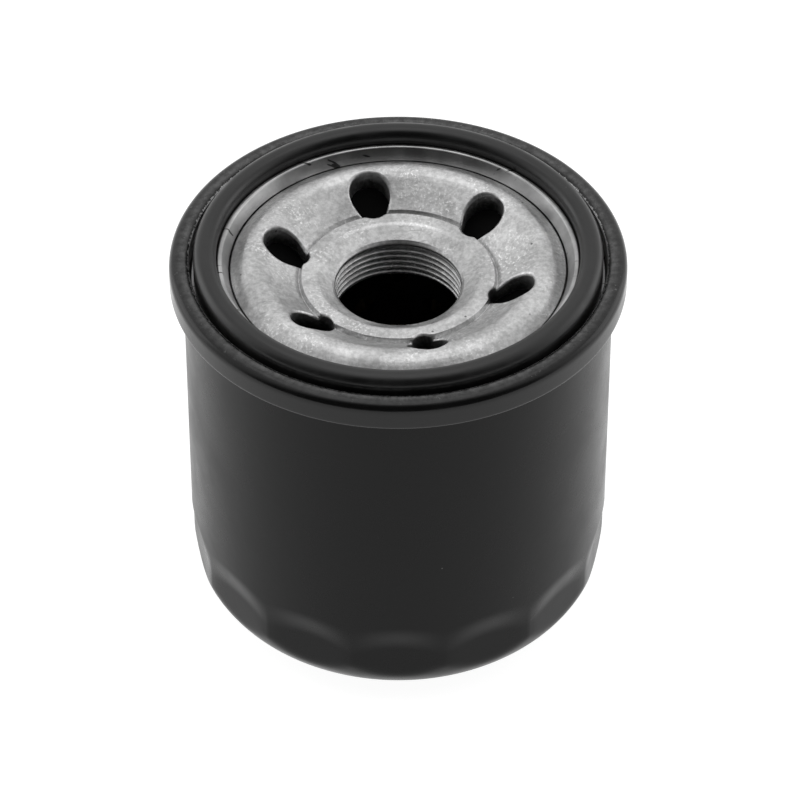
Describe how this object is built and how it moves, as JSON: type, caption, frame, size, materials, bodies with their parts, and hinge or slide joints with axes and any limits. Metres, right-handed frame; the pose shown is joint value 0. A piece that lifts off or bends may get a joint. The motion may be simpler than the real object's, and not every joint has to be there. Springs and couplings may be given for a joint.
{
  "type": "oil filter",
  "caption": "Spin-on oil filter with a black painted can, wrench flats, rubber sealing ring and threaded steel base plate.",
  "frame": {"origin": "centre of the underside of the can's closed end", "axes": "+Z along the can's axis towards the threaded plate; a wrench flat faces -Y"},
  "size_m": [0.068, 0.068, 0.0648],
  "materials": {
    "black_paint": "satin black paint",
    "lid_steel": "satin black paint outside, bare steel lip inside",
    "plate_steel": "dull zinc plated steel",
    "gasket_rubber": "smooth moulded rubber",
    "flap_rubber": "matte rubber",
    "sealant": "matte compound",
    "adhesive": "cured glue",
    "filter_paper": "resin-treated paper",
    "cap_steel": "plain pressed steel",
    "spring_steel": "plain spring steel"
  },
  "bodies": {
    "filter_body": {"can": "black_paint", "seaming_lid": "lid_steel", "seam_sealant": "sealant", "sealing_gasket": "gasket_rubber", "base_plate": "plate_steel", "upper_end_cap": "cap_steel", "upper_adhesive": "adhesive", "pleated_media": "filter_paper", "media_seam_clip": "cap_steel", "centre_tube": "cap_steel", "lower_adhesive": "adhesive", "lower_end_cap": "cap_steel", "relief_valve_housing": "cap_steel", "relief_spring": "spring_steel", "relief_spring_retainer": "cap_steel", "hold_down_spring": "spring_steel"},
    "relief_valve": {"relief_valve_disc": "cap_steel", "relief_valve_seal": "flap_rubber"},
    "anti_drain_flap": {"anti_drain_valve": "flap_rubber"}
  },
  "joints": [
    {"name": "relief_valve_lift", "type": "slide", "parent": "filter_body", "child": "relief_valve", "axis": [0, 0, 1], "range_m": [0, 0.002], "stiffness_N_per_m": 400, "springref_m": -0.01, "deforming": ["relief_spring"]},
    {"name": "anti_drain_open", "type": "slide", "parent": "filter_body", "child": "anti_drain_flap", "axis": [0, 0, -1], "range_m": [0, 0.0008], "stiffness_N_per_m": 200, "springref_m": -0.002}
  ]
}
